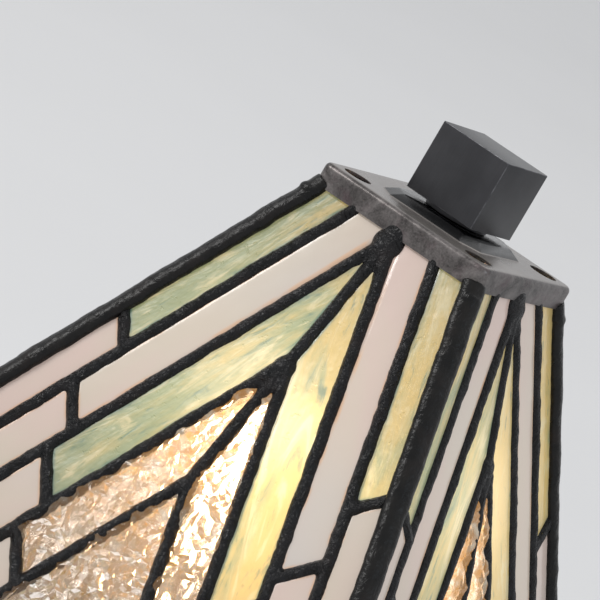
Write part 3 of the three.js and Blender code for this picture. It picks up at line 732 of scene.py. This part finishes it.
clear = Finish(
    "hammered_clear_glass", Roughness=0.02, IOR=1.5, Transmission_Weight=1.0, Emission_Strength=1.0
)
clear_tint = clear.place.noise(20, 3)
clear.set("Base Color", clear_tint.between(0.3, 0.7).blend(CLEAR_WARM, CLEAR_COOL))
clear.bump(clear.place.noise(700, 3, 0.6), 0.0003, 0.5)
# The hammered glass emits amber and hot cream near the bulb, a painted glow.
clear_glow = clear.place.noise(170, 4, 0.6).between(0.44, 0.72).blend(GLOW_AMBER, GLOW_HOT)
lit_from_inside(clear, clear_glow, near_bulb(clear, 0.05) ** 1.6 * 1.5)
hammer_tree = hammering(clear.material)
for quarter, side in enumerate(SIDES):
    slab = glass_mesh("clear", quarter)
    piece = add_piece(f"hammered_glass_{side}", slab, clear, "shade", f"glass_{side}_centre")
    remesh = piece.modifiers.new("even_grid", "REMESH")
    remesh.mode = "VOXEL"
    remesh.voxel_size = FACET_GRID
    grow(piece, hammer_tree, Seed=quarter * 3.7)
    facet = piece.modifiers.new("facets", "DECIMATE")
    facet.ratio = FACET_SHARE
    settle(piece)
    piece.data.transform(side_place(quarter))
    for face in piece.data.polygons:
        face.use_smooth = False

# ---------------------------------------------------------------- soldered seams
# Copper foil wraps each cut edge, and a bead of solder joins the foils from both faces. It was run by hand,
# so it swells, wrinkles and blobs, and black patina covers it.
SEAM_HALF = 0.0027
SEAM_DEPTH = 0.0031  # half the bead's thickness, through the glass
SEAM_CENTRE = -0.0014  # the bead's middle, below the glass's outer face
LUMP_LEVEL = -0.0006
FACES_KEPT = 0.6  # of a melted bead's faces
LONG_SEAMS = {OUTER_LINE: 1.0, MIDDLE_LINE: 1.0, INNER_LINE: 1.05, CORE_LINE: 0.9}  # width of each
PATINA_BLACK = (0.003, 0.003, 0.0034, 1)
PATINA_GREY = (0.011, 0.011, 0.012, 1)
PATINA_RED = (0.014, 0.009, 0.008, 1)
SMOOTH_DARK = (0.003, 0.003, 0.003, 1)
SMOOTH_BROWN = (0.009, 0.008, 0.007, 1)


def patina_finish(name, dark, light, rough, wrinkle):
    """Blackened solder, reddish in places, with soft folds in it."""
    made = Finish(name, Specular_IOR_Level=0.25)
    cloud = made.place.noise(130, 5, 0.6, 0.5)
    fine = made.place.noise(1500, 4, 0.65)
    folds = made.place.noise(260, 3, 0.5, 2.4)
    colour = (cloud * 0.85 + fine * 0.15).between(0.36, 0.68).blend(dark, light)
    colour = (made.place.noise(65, 4, 0.6).between(0.5, 0.72) * 0.6).blend(colour, PATINA_RED)
    made.set("Base Color", colour)
    made.set("Roughness", rough + (fine - 0.5) * 0.08 + (cloud - 0.5) * 0.24)
    made.bump(folds * 1.4 + fine * 0.05, wrinkle, 0.9)
    return made


def solder_bead(material):
    """Tubes along the input's edges, with a lump on each marked point."""
    beads = {"Half Width": SEAM_HALF, "Half Depth": SEAM_DEPTH}
    tree, given = shape_tree("solder_bead", {**beads, "Step": 0.0006, "Wander": 0.0005, "Seed": 0.0})
    place = add_node(tree, "GeometryNodeInputPosition")
    run = given["Geometry"].node("GeometryNodeMeshToCurve", None, {0: given["Geometry"]})
    run = run.node("GeometryNodeResampleCurve", {"mode": "LENGTH"}, {"Curve": run, "Length": given["Step"]})
    run = run.node("GeometryNodeSetCurveNormal", {"mode": "Z_UP"}, {"Curve": run})
    inputs = {"Vector": place, "W": given["Seed"], "Scale": 75.0, "Detail": 2.0}
    drift = place.node("ShaderNodeTexNoise", {"noise_dimensions": "4D"}, inputs, out=1)
    drift = drift.node("ShaderNodeVectorMath", {"operation": "SUBTRACT"}, {0: drift, 1: (0.5, 0.5, 0.5)})
    drift = drift.node("ShaderNodeVectorMath", {"operation": "SCALE"}, {0: drift, 3: given["Wander"] * 2.0})
    run = run.node("GeometryNodeSetPosition", None, {"Geometry": run, "Offset": drift})
    width = run.node("GeometryNodeInputNamedAttribute", None, {"Name": "width"})
    swelling, creasing = dict(inputs, Scale=110.0, Detail=3.0), dict(inputs, Scale=430.0, Detail=1.0)
    swell = place.node("ShaderNodeTexNoise", {"noise_dimensions": "4D"}, swelling)
    crease = place.node("ShaderNodeTexNoise", {"noise_dimensions": "4D"}, creasing)
    fold = crease.between(0.56, 0.66) * swell.between(0.48, 0.56)
    thickness = width * (0.72 + swell * 0.56) * (1.0 - fold * 0.5)
    run = run.node("GeometryNodeSetCurveRadius", None, {"Curve": run, "Radius": thickness})
    ring = run.node("GeometryNodeCurvePrimitiveCircle", None, {"Resolution": 14, "Radius": 1.0})
    inputs = {0: given["Half Width"], 1: given["Half Depth"], 2: 1.0}
    shape = given["Half Width"].node("ShaderNodeCombineXYZ", None, inputs)
    ring = ring.node("GeometryNodeTransform", None, {"Geometry": ring, "Scale": shape})
    inputs = {"Curve": run, "Profile Curve": ring, "Fill Caps": True}
    tubes = run.node("GeometryNodeCurveToMesh", None, inputs)
    size = tubes.node("GeometryNodeInputNamedAttribute", None, {"Name": "lump"})
    ball = tubes.node("GeometryNodeMeshIcoSphere", None, {"Radius": 1.0, "Subdivisions": 3})
    squashed = size.node("ShaderNodeCombineXYZ", None, {0: size, 1: size, 2: size * 0.3 + 0.0016})
    marked = size.math("GREATER_THAN", 0.0001)
    inputs = {"Points": given["Geometry"], "Selection": marked, "Instance": ball, "Scale": squashed}
    lumps = ball.node("GeometryNodeInstanceOnPoints", None, inputs)
    joined = tree.nodes.new("GeometryNodeJoinGeometry")
    for part in (tubes, lumps):
        tree.links.new(part.socket, joined.inputs[0])
    close_tree(tree, Field(joined.outputs[0]), material)
    return tree


def solder_skin(material):
    """Fine unevenness over a remeshed bead."""
    tree, given = shape_tree("solder_skin", {"Height": 0.0003, "Seed": 0.0})
    place = add_node(tree, "GeometryNodeInputPosition")
    out = add_node(tree, "GeometryNodeInputNormal")
    inputs = {"Vector": place, "W": given["Seed"], "Scale": 150.0, "Detail": 2.0, "Distortion": 0.6}
    bumps = place.node("ShaderNodeTexNoise", {"noise_dimensions": "4D"}, inputs)
    height = (bumps - 0.5) * 2.0 * given["Height"]
    push = out.node("ShaderNodeVectorMath", {"operation": "SCALE"}, {0: out, 3: height})
    skin = push.node("GeometryNodeSetPosition", None, {"Geometry": given["Geometry"], "Offset": push})
    close_tree(tree, skin, material)
    return tree


def seam_mesh(runs, lumps):
    """Edges for the beads, each with its own ends, and loose points for the lumps."""
    made = bmesh.new()
    width = made.verts.layers.float.new("width")
    lump = made.verts.layers.float.new("lump")
    for start, end, start_width, end_width in runs:
        ends = [made.verts.new(start), made.verts.new(end)]
        ends[0][width], ends[1][width] = start_width, end_width
        made.edges.new(ends)
    for spot, size in lumps:
        vertex = made.verts.new(spot)
        vertex[lump] = size
    mesh = bpy.data.meshes.new("seams")
    made.to_mesh(mesh)
    made.free()
    return mesh


def solder(name, mesh, finish, node, place, voxel=0.0007, skin=0.0006, **sizes):
    """Runs the beads, melts them into one body, roughens it and puts it in place."""
    piece = add_piece(name, mesh, finish, "shade", node)
    grow(piece, solder_bead(finish.material), **sizes)
    melt = piece.modifiers.new("melt", "REMESH")
    melt.mode = "VOXEL"
    melt.voxel_size = voxel
    relax = piece.modifiers.new("relax", "SMOOTH")
    relax.factor = 0.5
    relax.iterations = 1
    grow(piece, solder_skin(finish.material), Height=skin, Seed=sizes.get("Seed", 0.0))
    thin = piece.modifiers.new("fewer_faces", "DECIMATE")
    thin.ratio = FACES_KEPT
    settle(piece)
    piece.data.transform(place)
    for face in piece.data.polygons:
        face.use_smooth = True


def flat(point, height=SEAM_CENTRE):
    """A point of the pattern in the panel's plane."""
    return Vector((point.x, -point.y, height))


def side_runs():
    """One side's seams, as straight runs with their widths, and its lumps."""
    runs = []
    joints = []
    low = PANEL_LENGTH - 0.004
    for hand in (1, -1):
        for line, width in LONG_SEAMS.items():
            start, end = on_line(line, top_of(line) - 0.001), on_line(line, low)
            runs.append((start, end, width, hand))
        for inner, outer, down in TIES:
            start, end = tie_ends(inner, outer, down)
            runs.append((start, end, 0.82, hand))
            joints += [(start, 0.0024, hand), (end, 0.0024, hand)]
        runs.append((kite_side, kite_foot, 0.85, hand))
        joints.append((kite_side, 0.0028, hand))
        for line in LONG_SEAMS:
            joints.append((on_line(line, BORDER_TOP), 0.0027, hand))
    fork, branch = Vector((0, top_of(INNER_LINE))), Vector((0, top_of(CORE_LINE)))
    runs += [
        (Vector((0, -0.002)), fork, 1.0, 1),
        (fork, branch, 0.95, 1),
        (kite_foot, Vector((0, low)), 0.85, 1),
        (Vector((-HIP_LINE - SLOPE * BORDER_TOP, BORDER_TOP)), on_line(HIP_LINE, BORDER_TOP), 0.9, 1),
    ]
    joints += [
        (fork + Vector((0, 0.004)), 0.0046, 1),
        (branch + Vector((0, 0.003)), 0.0036, 1),
        (kite_foot, 0.003, 1),
        (Vector((0, 0.003)), 0.0064, 1),
        (Vector((0, -0.001)), 0.0056, 1),
    ]
    placed = []
    for start, end, width, hand in runs:
        ends = [flat(Vector((hand * point.x, point.y))) for point in (start, end)]
        placed.append((*ends, width, width))
    lumps = [(flat(Vector((hand * spot.x, spot.y)), LUMP_LEVEL), size) for spot, size, hand in joints]
    return placed, lumps


patina = patina_finish("black_patina", PATINA_BLACK, PATINA_GREY, 0.24, 0.0011)
for quarter, side in enumerate(SIDES):
    seams = seam_mesh(*side_runs())
    solder(f"seams_{side}", seams, patina, f"leading_{side}", side_place(quarter), Seed=quarter * 2.3)

# ---------------------------------------------------------------- hip beads and rim
# Thick round beads of solder close the four corners of the shade, and a channel closes its lower edge.
HIP_HALF_WIDTH, HIP_HALF_DEPTH = 0.0048, 0.0034
HIP_SINK = 0.0014  # from the corner in to the bead's middle
HIPS = ("front_right", "back_right", "back_left", "front_left")
RIM_HALF = 0.0031
RIM_CENTRE = -0.0015
smooth_black = patina_finish("smooth_black_patina", SMOOTH_DARK, SMOOTH_BROWN, 0.3, 0.0003)
for quarter, corner in enumerate(HIPS):
    ends = []
    for down in (-0.002, PANEL_LENGTH - 0.001):
        reach = TOP_HALF + SLOPE * down - HIP_SINK / math.sqrt(2)
        ends.append(Vector((reach, -reach, skirt_z - down * math.cos(LEAN))))
    hip_place = Matrix.Rotation(quarter * math.pi / 2, 4, "Z")
    shoulder = ends[0].lerp(ends[1], 0.03)
    runs = [(ends[0], shoulder, 0.72, 1.0), (shoulder, ends[1], 1.0, 1.0)]
    bead = seam_mesh(runs, [(ends[0].lerp(ends[1], 0.018), 0.0046)])
    sizes = {"Half_Width": HIP_HALF_WIDTH, "Half_Depth": HIP_HALF_DEPTH, "Wander": 0.0006}
    sizes["Seed"] = quarter + 20.0
    solder(f"hip_bead_{corner}", bead, smooth_black, f"hip_{corner}", hip_place, 0.0007, 0.0004, **sizes)

for quarter, side in enumerate(SIDES):
    reach = HIP_LINE + SLOPE * (PANEL_LENGTH - 0.003)
    edge = -(PANEL_LENGTH - 0.0033)
    ends = [Vector((x, edge, RIM_CENTRE)) for x in (-reach, reach)]
    rim = seam_mesh([(*ends, 1.0, 1.0)], [])
    sizes = {"Half_Width": RIM_HALF, "Half_Depth": RIM_HALF, "Wander": 0.0003, "Seed": quarter + 40.0}
    solder(f"rim_bead_{side}", rim, patina, f"rim_{side}", side_place(quarter), 0.0008, 0.0001, **sizes)

# ---------------------------------------------------------------- shade cap
# A square cap pressed from sheet brass and blackened. Its skirt covers the glass's upper edges, a raised
# boss stiffens it where it rests on the harp, and four holes let the warm air out.
CAP_GUNMETAL = (0.05, 0.045, 0.043, 1)
CAP_WORN = (0.2, 0.182, 0.176, 1)
CAP_PURPLE = (0.11, 0.065, 0.075, 1)
CAP_DECK_SHEEN = (0.3, 0.275, 0.255, 1)
BOSS_RISE = 0.0028
BOSS_FOOT, BOSS_TOP = 0.023, 0.0195
SHEET = 0.001
VENT_AT, VENT_RADIUS = 0.0285, 0.0055
CORNER, CORNER_STEPS = 0.004, 8
STRAIGHT_FROM = 0.005  # a corner at least this large is cut off straight
BEND, BEND_STEPS = 0.0021, 5
CAP_CREASE = math.radians(23)
BOSS_CLIP = 0.0065  # how much of the boss's corners is cut off
cap_bottom, cap_top = (Vector(corner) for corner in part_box("shade_cap"))
cap_half = cap_top.x
deck_z = cap_top.z - BOSS_RISE


def square_ring(made, half, radius, height):
    """A square of vertices with rounded corners, or with corners cut off straight if they are large."""
    ring = []
    for corner in range(4):
        middle = Vector(((1, -1, -1, 1)[corner], (1, 1, -1, -1)[corner])) * (half - radius)
        angles = (corner * math.pi / 2, (corner + 1) * math.pi / 2)
        ends = [Vector((math.cos(angle), math.sin(angle))) * radius for angle in angles]
        for step in range(CORNER_STEPS + 1):
            along = step / CORNER_STEPS
            point = middle + ends[0].lerp(ends[1], along)
            if radius < STRAIGHT_FROM:
                angle = (corner + along) * math.pi / 2
                point = middle + Vector((math.cos(angle), math.sin(angle))) * radius
            ring.append(made.verts.new((point.x, point.y, height)))
    return ring


def cap_profile(sheet):
    """The cap's outer surface, or its inner one a sheet inside: [half width, corner, height]."""
    bend = BEND - sheet
    rows = [(cap_half - sheet, CORNER - sheet, height) for height in (cap_bottom.z, deck_z - BEND)]
    for step in range(1, BEND_STEPS + 1):
        angle = step / BEND_STEPS * math.pi / 2
        half = cap_half - BEND + bend * math.cos(angle)
        corner = CORNER - sheet - bend * (1 - math.cos(angle))
        rows.append((half, corner, deck_z - BEND + bend * math.sin(angle)))
    rows += [
        (BOSS_FOOT + 0.0004 - sheet, BOSS_CLIP + 0.0004, deck_z - sheet),
        (BOSS_FOOT - 0.0001 - sheet, BOSS_CLIP, deck_z + 0.0003 - sheet),
        (BOSS_TOP + 0.0003 - sheet, BOSS_CLIP, cap_top.z - 0.0003 - sheet),
        (BOSS_TOP - 0.0002 - sheet, BOSS_CLIP, cap_top.z - sheet),
        (0.0044, 0.0043, cap_top.z - sheet),
    ]
    return rows


made = bmesh.new()
rows = cap_profile(0.0) + list(reversed(cap_profile(SHEET)))
rings = [square_ring(made, half, radius, height) for half, radius, height in rows]
for low, high in zip(rings, rings[1:] + rings[:1]):
    for i in range(len(low)):
        j = (i + 1) % len(low)
        made.faces.new((low[i], low[j], high[j], high[i]))
bmesh.ops.recalc_face_normals(made, faces=made.faces)
cap_mesh = bpy.data.meshes.new("cap")
made.to_mesh(cap_mesh)
made.free()
gunmetal = Finish("blackened_cap")
cap_cloud = gunmetal.place.noise(110, 6, 0.72, 0.4)
cap_grain = gunmetal.place.noise(1300, 4, 0.7)
cap_level = gunmetal.place.part("Z")
cap_colour = (cap_cloud * 0.7 + cap_grain * 0.3).between(0.36, 0.66).blend(CAP_GUNMETAL, CAP_WORN)
cap_colour = (gunmetal.place.noise(75, 5, 0.65).between(0.5, 0.7) * 0.4).blend(cap_colour, CAP_PURPLE)
# The cap's top is painted lighter and mottled by the grain, a painted reflection of the bright room seen at
# a grazing angle.
deck_painted_sheen = cap_level.between(deck_z - 0.0004, deck_z - 0.00005) * (0.55 + cap_grain * 0.5)
cap_colour = deck_painted_sheen.blend(cap_colour, CAP_DECK_SHEEN)
# The raised boss is painted black in a glossier, less metallic paint: partly its own dark finish, partly a
# painted shadow of the finial cube.
boss_black_and_shadow = cap_level.between(deck_z + 0.0001, deck_z + 0.0004)
gunmetal.set("Base Color", boss_black_and_shadow.blend(cap_colour, PATINA_BLACK))
gunmetal.set("Metallic", 0.6 - boss_black_and_shadow * 0.5)
gunmetal.set("Roughness", 0.3 + (cap_cloud - 0.5) * 0.25 - boss_black_and_shadow * 0.12)
gunmetal.bump(cap_grain * 0.4 + cap_cloud, 0.00012, 0.8)
cap_piece = add_piece("pressed_cap", cap_mesh, gunmetal, "shade", "shade_cap")
drill = bmesh.new()
for x in (-VENT_AT, VENT_AT):
    for y in (-VENT_AT, VENT_AT):
        hole = {"radius1": VENT_RADIUS, "radius2": VENT_RADIUS, "depth": 0.006, "segments": 40}
        bmesh.ops.create_cone(drill, cap_ends=True, matrix=Matrix.Translation((x, y, deck_z)), **hole)
drill_mesh = bpy.data.meshes.new("vent_drill")
drill.to_mesh(drill_mesh)
drill.free()
drill_object = bpy.data.objects.new("vent_drill", drill_mesh)
bpy.context.scene.collection.objects.link(drill_object)
vents = cap_piece.modifiers.new("vents", "BOOLEAN")
vents.object = drill_object
vents.solver = "EXACT"
settle(cap_piece)
bpy.data.objects.remove(drill_object)
for face in cap_piece.data.polygons:
    face.use_smooth = True
cap_piece.data.set_sharp_from_angle(angle=CAP_CREASE)

# ---------------------------------------------------------------- finial
# A charcoal cube screwed on the harp's stud through a round flanged bush, which leaves a dark gap between
# the cube and the cap.
EDGE_HIGHLIGHT_DARK = (0.05, 0.05, 0.055, 1)
EDGE_HIGHLIGHT_LIGHT = (0.16, 0.16, 0.17, 1)
eased("finial_bush", charcoal, "finial_seat", 0.0002, levels=1)
# The cube's rounded edges get a lighter finish, a painted highlight along each edge.
painted_edge_highlight = mottled("rubbed_charcoal", EDGE_HIGHLIGHT_DARK, EDGE_HIGHLIGHT_LIGHT, 0.6, 0.3, 200, 0.00002)
eased("finial_cube", charcoal, "finial", 0.0003, segments=3, edge_highlight=painted_edge_highlight)

# ---------------------------------------------------------------- table and studio
# A large pale floor, soft light all round, a wide soft light on each side, and a long lens close to the
# shade's top, turned so that the shade crosses the frame.
FLOOR_PALE = (0.76, 0.76, 0.76, 1)
FLOOR_SHADE = (0.74, 0.74, 0.74, 1)
FLOOR_HALF = 30.0
ROOM_COLOUR, ROOM_STRENGTH = (0.93, 0.94, 0.96, 1), 0.76
AIM_POINT = Vector((0, 0, deck_z))
LENS_MM = 251.25
STAND_OFF, STAND_AZIMUTH, STAND_RISE = 1.517, math.radians(24.49), math.radians(7.77)
LOOK_AZIMUTH, LOOK_RISE, LOOK_ROLL = math.radians(25.77), math.radians(9.70), math.radians(30.32)

floor_mesh = bpy.data.meshes.new("floor")
floor_corners = [(x * FLOOR_HALF, y * FLOOR_HALF, 0) for x, y in ((-1, -1), (1, -1), (1, 1), (-1, 1))]
floor_mesh.from_pydata(floor_corners, [], [(0, 1, 2, 3)])
floor = bpy.data.objects.new("floor", floor_mesh)
bpy.context.scene.collection.objects.link(floor)
plaster = Finish("pale_floor", Roughness=0.9)
plaster.set("Base Color", plaster.place.noise(0.8, 3).between(0.3, 0.7).blend(FLOOR_SHADE, FLOOR_PALE))
floor_mesh.materials.append(plaster.material)


def direction(azimuth, rise):
    """Towards this azimuth, from the front round to the right, and this far up."""
    flat_reach = math.cos(rise)
    return Vector((flat_reach * math.sin(azimuth), -flat_reach * math.cos(azimuth), math.sin(rise)))


def soft_light(name, azimuth, rise, distance, size, power, colour):
    lamp = bpy.data.lights.new(name, "AREA")
    lamp.shape = "DISK"
    lamp.size = size
    lamp.energy = power
    lamp.color = colour
    holder = bpy.data.objects.new(name, lamp)
    away = direction(math.radians(azimuth), math.radians(rise))
    holder.location = AIM_POINT + away * distance
    holder.rotation_euler = away.to_track_quat("Z", "Y").to_euler()
    holder.visible_camera = False
    bpy.context.scene.collection.objects.link(holder)


soft_light("key", -50, 32, 6.0, 2.4, 150, (1.0, 0.985, 0.97))
soft_light("fill", 80, 25, 6.0, 2.4, 22, (0.7, 0.86, 1.0))
soft_light("top", 180, 60, 7.0, 5.0, 40, (1.0, 1.0, 1.0))
room = bpy.data.worlds.new("room")
room.use_nodes = True
room_light = room.node_tree.nodes["Background"].inputs
room_light["Color"].default_value = ROOM_COLOUR
room_light["Strength"].default_value = ROOM_STRENGTH
bpy.context.scene.world = room
bpy.context.scene.view_settings.view_transform = "Standard"

lens = bpy.data.cameras.new("camera")
lens.lens = LENS_MM
lens.clip_end = 200
camera = bpy.data.objects.new("camera", lens)
bpy.context.scene.collection.objects.link(camera)
back = direction(LOOK_AZIMUTH, LOOK_RISE)
level = Vector((math.cos(LOOK_AZIMUTH), math.sin(LOOK_AZIMUTH), 0))
turned = Matrix.Rotation(LOOK_ROLL, 3, back)
across = turned @ level
up = back.cross(across)
stance = Matrix((across, up, back)).transposed().to_4x4()
stance.translation = AIM_POINT + direction(STAND_AZIMUTH, STAND_RISE) * STAND_OFF
camera.matrix_world = stance
bpy.context.scene.camera = camera
